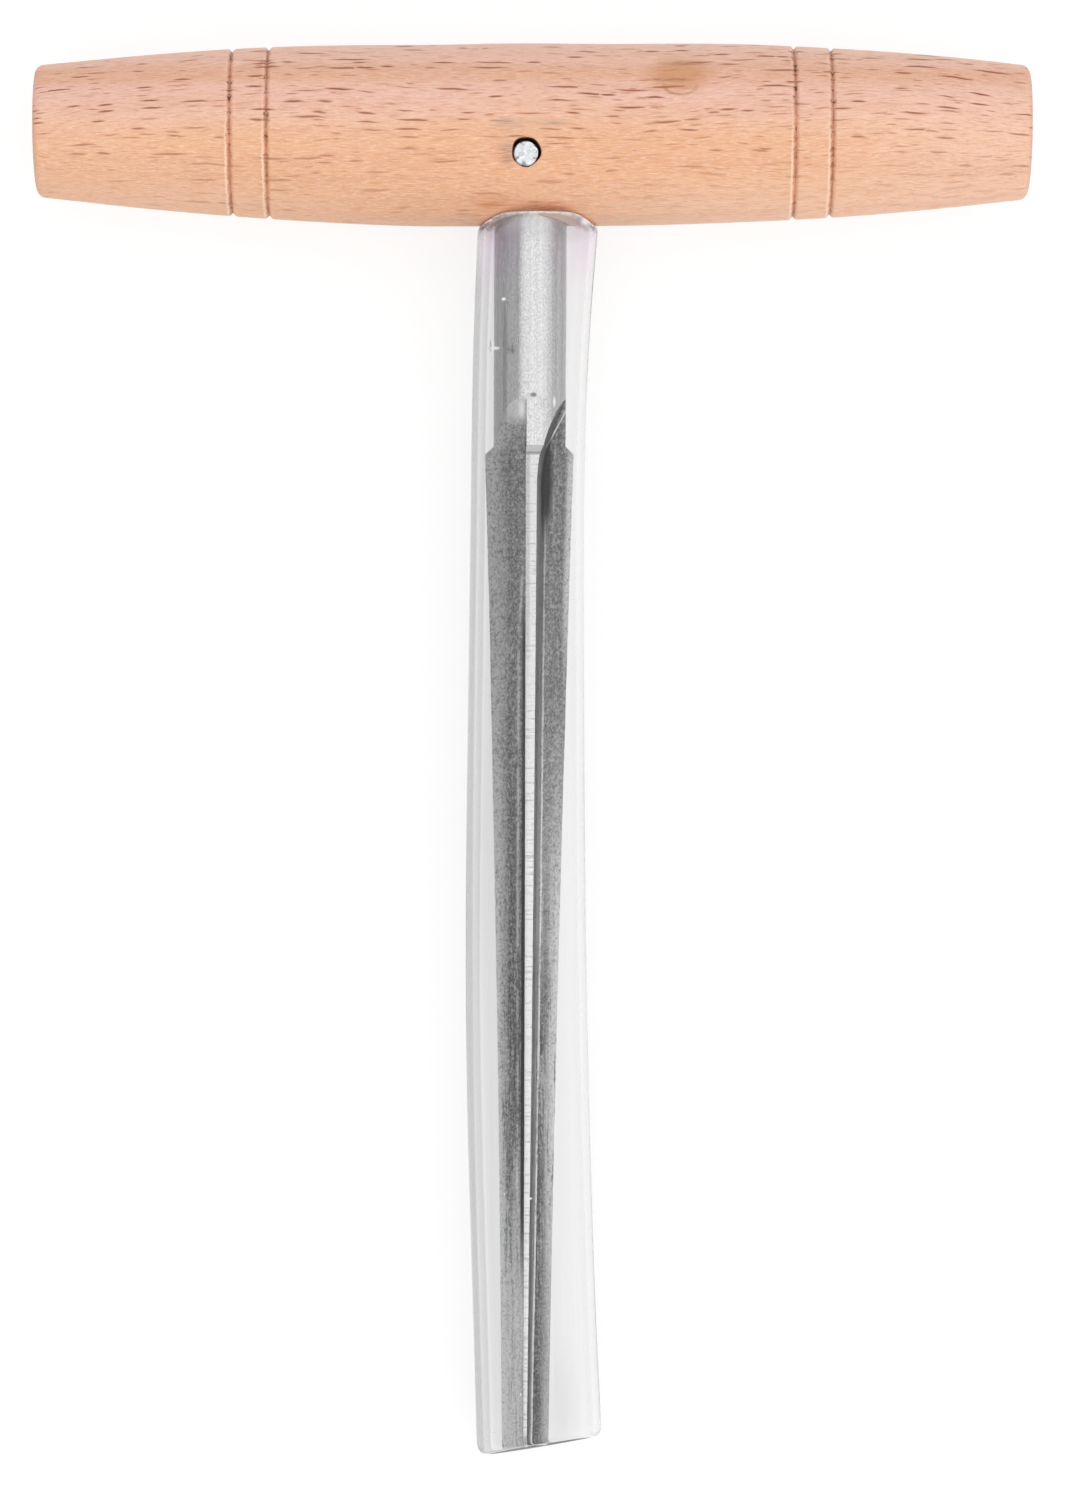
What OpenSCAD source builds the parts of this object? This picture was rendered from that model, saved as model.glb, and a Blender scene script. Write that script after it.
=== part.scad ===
// Peg reamer: a hand tool that cuts the tapered peg holes of stringed instruments.
// A turned wooden cross handle holds a fluted steel cutter, fixed by a cross pin, and a clear soft
// sleeve guards the edges. It lies on a bench: handle along X, tip towards -Y, +Z up. The origin is
// where the handle's axis crosses the cutter's axis.

/* [Handle] */
// Length of the handle
handle_len = 100; // [80:1:130]
// Diameter of the handle at its middle
handle_mid_d = 18.4; // [16:0.1:24]
// Diameter of the handle at its ends, before the edges are rounded
handle_end_d = 13.2; // [11:0.1:15]
// Radius of the rounded edge at each end
handle_edge_r = 0.9; // [0.4:0.1:1.5]
// Distance from the handle's middle to the outer groove of a pair
groove_outer_x = 30.1; // [24:0.1:36]
// Spacing of the two grooves of a pair
groove_spacing = 3.7; // [2:0.1:6]
// Width of a groove at the surface
groove_w = 0.6; // [0.4:0.1:1.2]
// Depth of a groove
groove_depth = 0.35; // [0.2:0.05:0.6]

/* [Reamer] */
// Diameter of the shank and of the tang in the handle
shank_d = 7.3; // [5:0.1:8]
// How far the tang reaches past the handle's axis
tang_past_axis = 4.5; // [3:0.5:6]
// Chamfer on the end of the tang
tang_chamfer = 0.6; // [0.2:0.1:1.2]
// Distance from the handle's axis to the cutter's shoulder
shoulder_y = 32.3; // [26:0.1:45]
// Diameter of the cutter at its shoulder
cutter_large_d = 9; // [8.5:0.1:11]
// Length over which the cutter's diameter falls by 1
taper_ratio = 23; // [20:1:30]
// Length of the cutter from its shoulder to its tip
cutter_len = 99.5; // [70:0.5:120]
// Chamfer round the cutter's tip
tip_chamfer = 0.4; // [0.2:0.1:0.8]

/* [Flutes] */
// Number of flutes, and of cutting edges
flute_count = 4; // [3:1:6]
// Angle that a land takes up on the cutter
land_angle = 14.5; // [8:0.5:18]
// Radius of the flute's root as a share of the cutter's radius
root_share = 0.36; // [0.3:0.01:0.6]
// Radius of the rounded root of a flute
root_fillet = 0.4; // [0.2:0.05:0.6]
// Radius of the grinding wheel, which the run-outs in the shank show
wheel_r = 20; // [12:1:60]
// Distance past the shoulder at which the run-outs start
runout_start = 3.5; // [1:0.5:14]
// Turn of the first cutting edge from straight up
edge_turn = 4.5; // [-20:0.5:20]

/* [Cross pin] */
// Diameter of the pin
pin_d = 2.6; // [2:0.1:3.2]
// Distance from the handle's axis to the pin, towards the cutter
pin_drop = 2.6; // [0:0.1:3.5]
// Sideways offset of the pin from the cutter's axis, as drilled by hand
pin_offset = -0.5; // [-0.8:0.1:0.8]
// How far the ends of the pin lie below the handle's surface
pin_recess = 0.3; // [0.1:0.05:0.8]
// Chamfer on the ends of the pin
pin_chamfer = 0.2; // [0.1:0.05:0.4]
// Width by which the drill broke out the mouth of the pin hole, all round
pin_mouth = 0.25; // [0.1:0.05:0.5]

/* [Sleeve] */
// Wall of the sleeve
sleeve_wall = 0.8; // [0.5:0.1:1.5]
// Room round the cutter's shoulder in the sleeve's bore
sleeve_room = 0.7; // [0.6:0.05:1.2]
// Room between the sleeve's end and the handle
sleeve_gap = 0.15; // [0.1:0.05:1]
// How far the sleeve reaches past the tip, on the cutter's axis
sleeve_past_tip = 0.6; // [0.2:0.1:10]
// Radius of the hollow that the handle has pressed into the sleeve's end
saddle_r = 15; // [14:1:40]
// Slant of the cut at the lower end
sleeve_cut_angle = 8; // [0:0.5:20]
// Sideways shift of the sleeve at the handle
sleeve_top_shift = 0.4; // [-0.4:0.05:0.4]
// Sideways shift of the sleeve at the tip
sleeve_tip_shift = 1.1; // [0:0.05:1.2]
// Bow of the sleeve between its ends
sleeve_bow = 1.15; // [0.4:0.05:1.2]

/* [Clearances] */
// Radial room of the tang in its bore
tang_fit = 0.02; // [0.01:0.01:0.1]
// Room past the end of the tang in its bore
tang_end_room = 0.5; // [0.2:0.1:1]
// Radial room of the pin in its holes
pin_fit = 0.02; // [0.01:0.01:0.1]

/* [Hidden] */
$fn = 96;

// Segments in a full turn of the long gentle arcs, and of the grinding wheel
arc_fn = 3600;
wheel_fn = 360;
// Overshoot of cutting tools past the surface that they cut
over = 1;

handle_r = handle_mid_d / 2;
handle_sag = (handle_mid_d - handle_end_d) / 2;
barrel_r = (pow(handle_len / 2, 2) + pow(handle_sag, 2)) / (2 * handle_sag);

shank_r = shank_d / 2;
cutter_large_r = cutter_large_d / 2;
cutter_tip_r = cutter_large_r - cutter_len / taper_ratio / 2;
tip_y = shoulder_y + cutter_len;
// Angle between the cutting face of one tooth and the back edge of the land before it
flute_angle = 360 / flute_count - land_angle;
// Fall of the flute's floor towards the axis, for each unit away from the cutting face
floor_slope = (root_share - cos(flute_angle)) / sin(flute_angle);
// Width and height of the tools that cut the flutes, past the cutter's surface all round
flute_reach = cutter_large_d;
// Steps in the arc of a flute's rounded root
fillet_steps = 6;

pin_r = pin_d / 2;
pin_surface_z = sqrt(pow(handle_r, 2) - pow(pin_drop, 2));
pin_hole_r = pin_r + pin_fit;

sleeve_bore_r = cutter_large_r + sleeve_room;
sleeve_r = sleeve_bore_r + sleeve_wall;
sleeve_top = [sleeve_top_shift, -(handle_r + sleeve_gap)];
sleeve_tip = [
    sleeve_tip_shift,
    -(tip_y + sleeve_past_tip) + sleeve_tip_shift * tan(sleeve_cut_angle)
];
sleeve_run = sleeve_top - sleeve_tip;
sleeve_chord = norm(sleeve_run);
sleeve_bow_r = (pow(sleeve_chord / 2, 2) + pow(sleeve_bow, 2)) / (2 * sleeve_bow);
// Extra length at each end, which the end cuts take off
sleeve_spare = sleeve_r;

// Radius of the barrel at a distance x from the handle's middle
function barrel_radius(x) = handle_r - barrel_r + sqrt(pow(barrel_r, 2) - pow(x, 2));

// Radius of the cutter at a distance y from the handle's axis
function cutter_radius(y) = cutter_large_r - (y - shoulder_y) / taper_ratio / 2;

// Half outline of the handle, with its axis on the Y axis: a long arc between two rounded edges
module handle_profile() {
    edge_y = handle_len / 2 - handle_edge_r;
    edge_x = handle_r - barrel_r + sqrt(pow(barrel_r - handle_edge_r, 2) - pow(edge_y, 2));
    meet_y = edge_y * barrel_r / (barrel_r - handle_edge_r);
    difference() {
        union() {
            intersection() {
                translate([handle_r - barrel_r, 0]) circle(barrel_r, $fn = arc_fn);
                translate([0, -meet_y]) square([handle_r, 2 * meet_y]);
            }
            for (side = [-1, 1]) {
                intersection() {
                    translate([edge_x, side * edge_y]) circle(handle_edge_r);
                    translate([edge_x, side > 0 ? meet_y : -handle_len]) square(handle_len - meet_y);
                }
            }
            translate([0, -handle_len / 2]) square([edge_x, handle_len]);
        }
        for (side = [-1, 1]) {
            for (i = [0, 1]) {
                groove_cut(side * (groove_outer_x - i * groove_spacing));
            }
        }
    }
}

// One V groove in the half outline
module groove_cut(y) {
    r = barrel_radius(y);
    half_w = groove_w / 2 * (groove_depth + over) / groove_depth;
    polygon([[r - groove_depth, y], [r + over, y - half_w], [r + over, y + half_w]]);
}

// Cross hole for the pin, with its mouths broken out a little
module pin_hole() {
    translate([pin_offset, -pin_drop, 0]) {
        cylinder(r = pin_hole_r, h = handle_mid_d, center = true);
        for (turn = [0, 180]) {
            rotate([turn, 0, 0]) translate([0, 0, pin_surface_z - pin_recess])
                cylinder(r1 = pin_hole_r, r2 = pin_hole_r + pin_mouth * (pin_recess + over) / pin_recess,
                    h = pin_recess + over);
        }
    }
}

// Bore for the tang, from below the handle to just past the tang's end
module tang_bore() {
    translate([0, tang_past_axis + tang_end_room, 0]) rotate([90, 0, 0])
        cylinder(r = shank_r + tang_fit, h = tang_past_axis + tang_end_room + handle_r + over);
}

// Section of a flute's bottom, from its cutting face (y = 0) round the rounded root to its floor.
// Each point gives the height above the sharp root and the distance from the cutting face.
function flute_section() =
    let (
        half_open = 45 + atan(floor_slope) / 2,
        centre = [root_fillet / tan(half_open), root_fillet],
        sweep = 180 - 2 * half_open
    )
    [
        for (i = [0 : fillet_steps])
            centre + root_fillet * [-sin(i * sweep / fillet_steps), -cos(i * sweep / fillet_steps)],
        [-floor_slope * flute_reach, flute_reach]
    ];

// One flute, cut as the wheel cuts it: a straight pass along the root and a round run-out.
// The cutting face is the plane y = 0, and the floor falls away from it to the land before.
module flute_cut() {
    start = shoulder_y + runout_start;
    root_r = root_share * cutter_radius(start);
    lean = atan(root_share / taper_ratio / 2);
    section = flute_section();
    translate([root_r, 0, start]) rotate([0, -lean, 0]) {
        linear_extrude(cutter_len)
            polygon(concat([[flute_reach, 0]], section, [[flute_reach, flute_reach]]));
        translate([wheel_r, 0, 0]) rotate([-90, 0, 0])
            rotate_extrude($fn = wheel_fn)
                polygon(concat(
                    [[0, 0]],
                    [for (p = section) [wheel_r - p[0], p[1]]],
                    [[0, flute_reach]]
                ));
    }
}

// Tang, shank and tapered blank, turned on the Z axis with the tip upwards
module reamer_blank() {
    shoulder_h = cutter_large_r - shank_r;
    rotate_extrude()
        polygon([
            [0, -tang_past_axis],
            [shank_r - tang_chamfer, -tang_past_axis],
            [shank_r, tang_chamfer - tang_past_axis],
            [shank_r, shoulder_y - shoulder_h],
            [cutter_large_r, shoulder_y],
            [cutter_radius(tip_y - tip_chamfer), tip_y - tip_chamfer],
            [cutter_tip_r - tip_chamfer, tip_y],
            [0, tip_y]
        ]);
}

// Soft tube along an arc that bows towards -X, longer than the sleeve at both ends
module bowed_tube() {
    half_turn = asin((sleeve_chord / 2 + sleeve_spare) / sleeve_bow_r);
    translate((sleeve_top + sleeve_tip) / 2)
        rotate([0, 0, -atan2(sleeve_run.x, sleeve_run.y)])
            translate([sleeve_bow_r - sleeve_bow, 0, 0]) rotate([0, 0, 180 - half_turn])
                rotate_extrude(angle = 2 * half_turn, $fn = arc_fn)
                    translate([sleeve_bow_r, 0]) difference() {
                        circle(sleeve_r, $fn = 96);
                        circle(sleeve_bore_r, $fn = 96);
                    }
}

module handle() {
    color([0.91, 0.72, 0.60])
    difference() {
        rotate([0, 90, 0]) rotate_extrude() handle_profile();
        tang_bore();
        pin_hole();
    }
}

module reamer() {
    color([0.62, 0.62, 0.62])
    difference() {
        rotate([90, 0, 0]) difference() {
            reamer_blank();
            for (i = [0 : flute_count - 1]) {
                rotate([0, 0, 90 + edge_turn + i * 360 / flute_count]) flute_cut();
            }
        }
        translate([pin_offset, -pin_drop, 0])
            cylinder(r = pin_hole_r, h = handle_mid_d, center = true);
    }
}

module cross_pin() {
    end_z = pin_surface_z - pin_recess;
    color([0.80, 0.80, 0.78])
    translate([pin_offset, -pin_drop, 0])
        rotate_extrude()
            polygon([
                [0, -end_z],
                [pin_r - pin_chamfer, -end_z],
                [pin_r, pin_chamfer - end_z],
                [pin_r, end_z - pin_chamfer],
                [pin_r - pin_chamfer, end_z],
                [0, end_z]
            ]);
}

module sleeve() {
    wide = 4 * sleeve_r;
    color([0.92, 0.94, 0.96, 0.4])
    difference() {
        bowed_tube();
        translate([0, sleeve_top.y + saddle_r, 0]) rotate([0, 90, 0])
            cylinder(r = saddle_r, h = wide, center = true);
        translate(sleeve_tip) rotate([0, 0, sleeve_cut_angle])
            translate([-wide / 2, -wide, -wide / 2]) cube(wide);
    }
}

handle();
reamer();
cross_pin();
sleeve();
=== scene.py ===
import math

import bmesh
import bpy
import numpy as np
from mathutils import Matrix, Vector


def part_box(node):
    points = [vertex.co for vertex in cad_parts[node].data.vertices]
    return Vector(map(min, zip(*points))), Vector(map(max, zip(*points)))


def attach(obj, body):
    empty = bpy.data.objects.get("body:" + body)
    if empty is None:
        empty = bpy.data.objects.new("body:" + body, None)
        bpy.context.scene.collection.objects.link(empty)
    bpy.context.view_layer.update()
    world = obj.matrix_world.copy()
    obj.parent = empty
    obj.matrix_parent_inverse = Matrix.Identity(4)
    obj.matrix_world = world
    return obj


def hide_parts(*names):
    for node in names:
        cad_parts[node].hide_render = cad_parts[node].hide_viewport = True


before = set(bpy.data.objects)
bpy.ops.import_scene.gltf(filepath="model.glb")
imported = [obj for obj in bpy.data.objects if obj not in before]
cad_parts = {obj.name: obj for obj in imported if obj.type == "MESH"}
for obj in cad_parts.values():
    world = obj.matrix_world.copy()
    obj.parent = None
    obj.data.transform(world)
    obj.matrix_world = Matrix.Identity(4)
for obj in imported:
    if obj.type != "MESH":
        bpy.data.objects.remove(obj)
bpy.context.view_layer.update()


# Handle
# A beech barrel turned on a lathe, with two pairs of V grooves and rounded ends, sanded and thinly sealed.
# Its middle is bored from below for the cutter's tang, and drilled across for the pin that holds it.
MM = 0.001
HANDLE_HALF, _, HANDLE_R = np.array(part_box("handle")[1]) / MM
HANDLE_END_R = 6.6
HANDLE_EDGE_R = 0.9
HANDLE_TURNS = 240
HANDLE_SHARP = math.radians(50)
EDGE_STEPS = 10
FACE_STEPS = 5
BARREL_SAG = HANDLE_R - HANDLE_END_R
BARREL_ARC_R = (HANDLE_HALF**2 + BARREL_SAG**2) / (2 * BARREL_SAG)
GROOVE_PLACES = (26.4, 30.1)
GROOVE_HALF_W = 0.3
GROOVE_DEPTH = 0.36
GROOVE_SHARP = 6
GROOVE_REACH = 0.8
GROOVE_STEPS = 33
GROOVE_CLEAR = 1.1
DRILLED_REACH = 8
PIN_X = -0.5
PIN_Y = -2.6
PIN_R = 1.3
TANG_R = 3.65
SWELL_FROM = 8
# For each arm, the most that the barrel is fuller than its arc, and where that ends
SWELL_LEFT = (0.15, 46)
SWELL_RIGHT = (0.27, 56)
# For each end, how far it lies to the right, and how much more for each millimetre up
LEFT_END = (0.12, -0.009)
RIGHT_END = (0.2, 0.012)
# Place along the handle and rise of its middle line there, as measured
HANDLE_BEND = np.array(
    [(-50, 0.36), (-38, 0.28), (-28, 0.2), (-18, 0.04), (-10, -0.06), (-4, 0)]
    + [(4, 0), (10, 0.03), (19, 0.17), (30, 0.22), (42, 0.29), (50, 0.29)]
)


def groove_fall(x):
    """Depth of the grooves at x: straight V sides, and shoulders worn round by a soft step."""
    fall = np.zeros_like(x)
    for place in GROOVE_PLACES:
        inside = 1 - np.abs(np.abs(x) - place) / GROOVE_HALF_W
        fall += GROOVE_DEPTH * np.logaddexp(0, GROOVE_SHARP * inside) / GROOVE_SHARP
    return fall


def swell(x):
    """How much fuller than its arc the barrel is at x: half a sine wave on each arm, more on the right."""
    fuller = np.zeros_like(x)
    for arm, (most, end) in ((-1, SWELL_LEFT), (1, SWELL_RIGHT)):
        share = np.clip((arm * x - SWELL_FROM) / (end - SWELL_FROM), 0, 1)
        fuller += most * np.sin(math.pi * share)
    return fuller


def barrel_radius(x):
    """Radius of the barrel at x: a long arc about a centre far below the axis, a little fuller on each arm,
    less the grooves."""
    return HANDLE_R - BARREL_ARC_R + np.sqrt(BARREL_ARC_R**2 - x**2) + swell(x) - groove_fall(x)


def barrel_outline():
    """Half outline of the handle from its left end to its right: face, rounded edge, barrel and back.
    Stations crowd together at the grooves and round the drilled middle."""
    edge_x = HANDLE_HALF - HANDLE_EDGE_R
    edge_r = HANDLE_R - BARREL_ARC_R + math.sqrt((BARREL_ARC_R - HANDLE_EDGE_R) ** 2 - edge_x**2)
    lean = math.asin(edge_x / (BARREL_ARC_R - HANDLE_EDGE_R))
    turn = np.linspace(lean, math.pi / 2, EDGE_STEPS)
    face_r = np.linspace(edge_r, 0, FACE_STEPS + 2)[1:-1]
    meet_x = edge_x + HANDLE_EDGE_R * math.sin(lean)
    beside = np.linspace(-GROOVE_REACH, GROOVE_REACH, GROOVE_STEPS)
    near_groove = np.concatenate([place + beside for place in GROOVE_PLACES])
    plain = np.arange(DRILLED_REACH, meet_x - 0.5, 1.0)
    clear = np.abs(plain[:, None] - np.array(GROOVE_PLACES)).min(1) > GROOVE_CLEAR
    half = np.sort(np.concatenate([np.arange(0.5, DRILLED_REACH, 0.5), plain[clear], near_groove]))
    end_x = np.concatenate([edge_x + HANDLE_EDGE_R * np.sin(turn), np.full(FACE_STEPS, HANDLE_HALF)])
    end_r = np.concatenate([edge_r + HANDLE_EDGE_R * np.cos(turn), face_r])
    fuller = np.minimum(end_r / edge_r, 1)
    side_x = np.concatenate([half, end_x])
    left_r = np.concatenate([barrel_radius(-half), end_r + fuller * swell(-end_x)])
    right_r = np.concatenate([barrel_radius(half), end_r + fuller * swell(end_x)])
    x = np.concatenate([-side_x[::-1], [0.0], side_x])
    r = np.concatenate([left_r[::-1], [HANDLE_R], right_r])
    return x, r


def ring_faces(rows):
    """Quads between neighbouring rows of point numbers, each row closing on itself."""
    ahead = np.roll(rows, -1, axis=1)
    return np.stack([rows[:-1], rows[1:], ahead[1:], ahead[:-1]], axis=-1).reshape(-1, 4)


def fan_faces(ring, centre):
    """Triangles from a closed ring of point numbers to one point."""
    return np.stack([ring, np.roll(ring, -1), np.full(len(ring), centre)], axis=-1)


# Shares of the way from a window's edge to the mouth of its hole, where the rings lie
WINDOW_SHARES = (0.2, 0.4, 0.6, 0.8, 0.93)
# Waves round a drilled mouth: height as a share of its radius, number and start
RAGGED = ((0.025, 3, 1), (0.02, 5, 2.5))


def drilled_rings(rim, across, side, centre, mouth_r, wall):
    """Rings that carry a window in the barrel to a drilled mouth and down its wall.
    Seen along the drill, a ring moves straight from the window's edge to a slightly ragged circle about the
    centre. Its height is that of the barrel there, less the depth that wall gives beside each radius."""
    flat = rim[:, [0, across]]
    spoke = flat - centre
    turn = np.arctan2(spoke[:, 1], spoke[:, 0])
    ragged = 1 + sum(height * np.sin(number * turn + start) for height, number, start in RAGGED)
    circle = np.stack([np.cos(turn), np.sin(turn)], axis=1) * ragged[:, None]
    share = np.array(WINDOW_SHARES)[:, None, None]
    rings = list((1 - share) * flat + share * (centre + mouth_r * circle))
    depths = [0] * len(rings)
    for radius, depth in wall:
        rings.append(centre + radius * circle)
        depths.append(depth)
    rings = np.array(rings)
    high = np.sqrt(barrel_radius(rings[..., 0]) ** 2 - rings[..., 1] ** 2)
    points = np.empty((*rings.shape[:2], 3))
    points[..., 0] = rings[..., 0]
    points[..., across] = rings[..., 1]
    points[..., 3 - across] = side * (high - np.array(depths)[:, None])
    return points


def window_edge(rows, cols):
    """Point numbers round a window in the barrel, in order, given its first and last rows and columns."""
    block = HANDLE_NUMBERS[rows[0] : rows[1] + 1, cols[0] : cols[1] + 1]
    return np.concatenate([block[0, :-1], block[:-1, -1], block[-1, :0:-1], block[:0:-1, 0]])


MERGE_WITHIN = 0.0005


def make_piece(name, points, faces, sharp=None):
    """A smooth closed mesh from points in millimetres and arrays of faces, with doubles merged and faces
    turned outwards. Edges that bend more than sharp stay crisp."""
    mesh = bpy.data.meshes.new(name)
    used, corner_reflection = np.unique(np.concatenate([f.ravel() for f in faces]), return_inverse=True)
    counts = np.concatenate([np.full(len(f), f.shape[1]) for f in faces])
    mesh.vertices.add(len(used))
    mesh.vertices.foreach_set("co", (points[used] * MM).ravel())
    mesh.loops.add(len(corner_reflection))
    mesh.loops.foreach_set("vertex_index", corner_reflection.ravel())
    mesh.polygons.add(len(counts))
    mesh.polygons.foreach_set("loop_start", np.cumsum(counts) - counts)
    mesh.update(calc_edges=True)
    work = bmesh.new()
    work.from_mesh(mesh)
    bmesh.ops.remove_doubles(work, verts=work.verts, dist=MERGE_WITHIN * MM)
    bmesh.ops.dissolve_degenerate(work, edges=work.edges, dist=MERGE_WITHIN * MM)
    bmesh.ops.recalc_face_normals(work, faces=work.faces)
    work.to_mesh(mesh)
    work.free()
    mesh.shade_smooth()
    if sharp:
        mesh.set_sharp_from_angle(angle=sharp)
    piece = bpy.data.objects.new(name, mesh)
    bpy.context.scene.collection.objects.link(piece)
    return piece


outline_x, outline_r = barrel_outline()
around = np.linspace(0, 2 * math.pi, HANDLE_TURNS, endpoint=False)
HANDLE_NUMBERS = np.arange(len(outline_x) * HANDLE_TURNS).reshape(len(outline_x), HANDLE_TURNS)
skin = np.stack(
    [
        np.broadcast_to(outline_x[:, None], HANDLE_NUMBERS.shape),
        outline_r[:, None] * np.cos(around),
        outline_r[:, None] * np.sin(around),
    ],
    axis=-1,
).reshape(-1, 3)


def row_at(x):
    """The row of the barrel's grid nearest to x."""
    return int(np.abs(outline_x - x).argmin())


def column_at(degrees):
    """The column of the barrel's grid at an angle that turns from the Y axis towards the Z axis."""
    return round(degrees / 360 * HANDLE_TURNS)


# Radius and depth of each ring down the wall of a hole
PIN_WALL = [(1.55, 0), (1.5, 0.03), (1.46, 0.12), (1.44, 0.3), (1.4, 0.9), (1.3, 2.0), (1.28, 4.0)]
TANG_WALL = [(3.9, 0), (3.8, 0.04), (3.72, 0.14), (3.67, 0.3), (3.67, 2), (3.67, 4.5)]
PIN_DIRECTION = math.degrees(math.acos(PIN_Y / HANDLE_R))
PIN_MOUTH_SHIFT = (0.05, 0.13)
PIN_MOUTH = np.array([PIN_X, PIN_Y]) + PIN_MOUTH_SHIFT
PIN_MOUTH_R = 1.6
PIN_WINDOW = (-3.5, 2.5)
PIN_COLUMNS = 13
TANG_DIRECTION = 180
TANG_MOUTH = np.zeros(2)
TANG_MOUTH_R = 3.95
TANG_WINDOW = (-6.0, 6.0)
TANG_COLUMNS = 23
# Each window: reach along the barrel, direction round it, half its columns, the axis seen across the drill,
# the side that the drill comes from, and the centre, radius and wall of the hole
WINDOWS = [
    (PIN_WINDOW, PIN_DIRECTION, PIN_COLUMNS, 1, 1, PIN_MOUTH, PIN_MOUTH_R, PIN_WALL),
    (PIN_WINDOW, 360 - PIN_DIRECTION, PIN_COLUMNS, 1, -1, PIN_MOUTH, PIN_MOUTH_R, PIN_WALL),
    (TANG_WINDOW, TANG_DIRECTION, TANG_COLUMNS, 2, -1, TANG_MOUTH, TANG_MOUTH_R, TANG_WALL),
]
whole = np.ones((len(outline_x) - 1, HANDLE_TURNS), bool)
handle_points = [skin, np.array([[-HANDLE_HALF, 0, 0], [HANDLE_HALF, 0, 0]])]
left_pole = len(skin)
total = left_pole + 2
handle_faces = [
    fan_faces(HANDLE_NUMBERS[0], left_pole),
    fan_faces(HANDLE_NUMBERS[-1], left_pole + 1),
]
for reach, direction, half_cols, across, side, centre, mouth_r, wall in WINDOWS:
    rows = (row_at(reach[0]), row_at(reach[1]))
    cols = (column_at(direction) - half_cols, column_at(direction) + half_cols)
    whole[rows[0] : rows[1], cols[0] : cols[1]] = False
    edge = window_edge(rows, cols)
    rings = drilled_rings(skin[edge], across, side, centre, mouth_r, wall)
    numbers = total + np.arange(rings.shape[0] * rings.shape[1]).reshape(rings.shape[:2])
    bottom = numbers[-1, -1] + 1
    handle_faces += [ring_faces(np.vstack([edge, numbers])), fan_faces(numbers[-1], bottom)]
    handle_points += [rings.reshape(-1, 3), rings[-1].mean(0, keepdims=True)]
    total = bottom + 1
handle_faces.append(ring_faces(HANDLE_NUMBERS)[whole.ravel()])
handle = make_piece("handle_beech", np.concatenate(handle_points), handle_faces, sharp=HANDLE_SHARP)


def keep_values(piece, name, values):
    """Stores one number for each point of a piece, for its material to read."""
    piece.data.attributes.new(name, "FLOAT", "POINT").data.foreach_set("value", values.astype(np.float32))


def places(piece):
    """The points of a piece, in millimetres."""
    flat = np.empty(len(piece.data.vertices) * 3, np.float32)
    piece.data.vertices.foreach_get("co", flat)
    return flat.reshape(-1, 3).astype(float) / MM


HOLE_SHADE = 0.3
END_GRAIN_FROM = HANDLE_HALF - 0.5
END_GRAIN_FULL = 0.45
handle_at = places(handle)
handle_x, handle_y, handle_z = handle_at.T
# Painted shade: the material darkens the wood with depth inside the drilled holes
sunk = np.clip((barrel_radius(handle_x) - np.hypot(handle_y, handle_z)) / HOLE_SHADE, 0, 1)
keep_values(handle, "inside", sunk * (np.abs(handle_x) < DRILLED_REACH))
keep_values(handle, "end_grain", np.clip((np.abs(handle_x) - END_GRAIN_FROM) / END_GRAIN_FULL, 0, 1))


def smooth_through(stations, values, where):
    """A natural cubic spline: the bend at each station comes from solving for equal slopes on both sides."""
    gap = np.diff(stations)
    rise = np.diff(values) / gap
    size = len(stations)
    system = np.eye(size)
    pull = np.zeros(size)
    inner = np.arange(1, size - 1)
    system[inner, inner - 1] = gap[:-1]
    system[inner, inner] = 2 * (gap[:-1] + gap[1:])
    system[inner, inner + 1] = gap[1:]
    pull[inner] = 6 * np.diff(rise)
    bend = np.linalg.solve(system, pull)
    i = np.clip(np.searchsorted(stations, where) - 1, 0, size - 2)
    left = (stations[i + 1] - where) / gap[i]
    right = (where - stations[i]) / gap[i]
    curve = (left**3 - left) * bend[i] + (right**3 - right) * bend[i + 1]
    return left * values[i] + right * values[i + 1] + curve * gap[i] ** 2 / 6


# The handle is bent by a few tenths of a millimetre, and its ends are not quite square
bent = handle_at.copy()
near_end = np.abs(handle_x / HANDLE_HALF) ** 3
left_shift, right_shift = (shift + more * handle_y for shift, more in (LEFT_END, RIGHT_END))
bent[:, 0] += near_end * np.where(handle_x > 0, right_shift, left_shift)
bent[:, 1] += smooth_through(*HANDLE_BEND.T, handle_x)
handle.data.vertices.foreach_set("co", (bent * MM).ravel())
handle.data.update()


def node(tree, kind, inputs, out=0, **settings):
    """Adds one shader node, sets its properties, fills its inputs by name or number and gives an output."""
    made = tree.nodes.new("ShaderNode" + kind)
    for key, value in settings.items():
        setattr(made, key, value)
    for key, value in inputs.items():
        if isinstance(value, bpy.types.NodeSocket):
            tree.links.new(value, made.inputs[key])
        else:
            made.inputs[key].default_value = value
    return made.outputs[out]


def calc(tree, operation, *values):
    """One step of arithmetic on numbers."""
    return node(tree, "Math", dict(enumerate(values)), operation=operation)


def product(tree, first, *others):
    """Several numbers multiplied together."""
    result = first
    for other in others:
        result = calc(tree, "MULTIPLY", result, other)
    return result


def away(tree, value, centre):
    """How far a number lies from centre, to either side."""
    return calc(tree, "ABSOLUTE", calc(tree, "SUBTRACT", value, centre))


def vector(tree, operation, *values, out=0):
    """One step of arithmetic on vectors."""
    return node(tree, "VectorMath", dict(enumerate(values)), out=out, operation=operation)


def axes_of(tree, point):
    """The three coordinates of a point."""
    return node(tree, "SeparateXYZ", {0: point}).node.outputs


def blend(tree, share, first, second):
    """Mixes two colours, and share is how much of the second shows."""
    return node(tree, "Mix", {0: share, 6: first, 7: second}, out=2, data_type="RGBA")


def coats(tree, tone, *layers):
    """Lays colours over a tone, one after the other. Each layer is its share and its colour."""
    for share, tint in layers:
        tone = blend(tree, share, tone, tint)
    return tone


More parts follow.
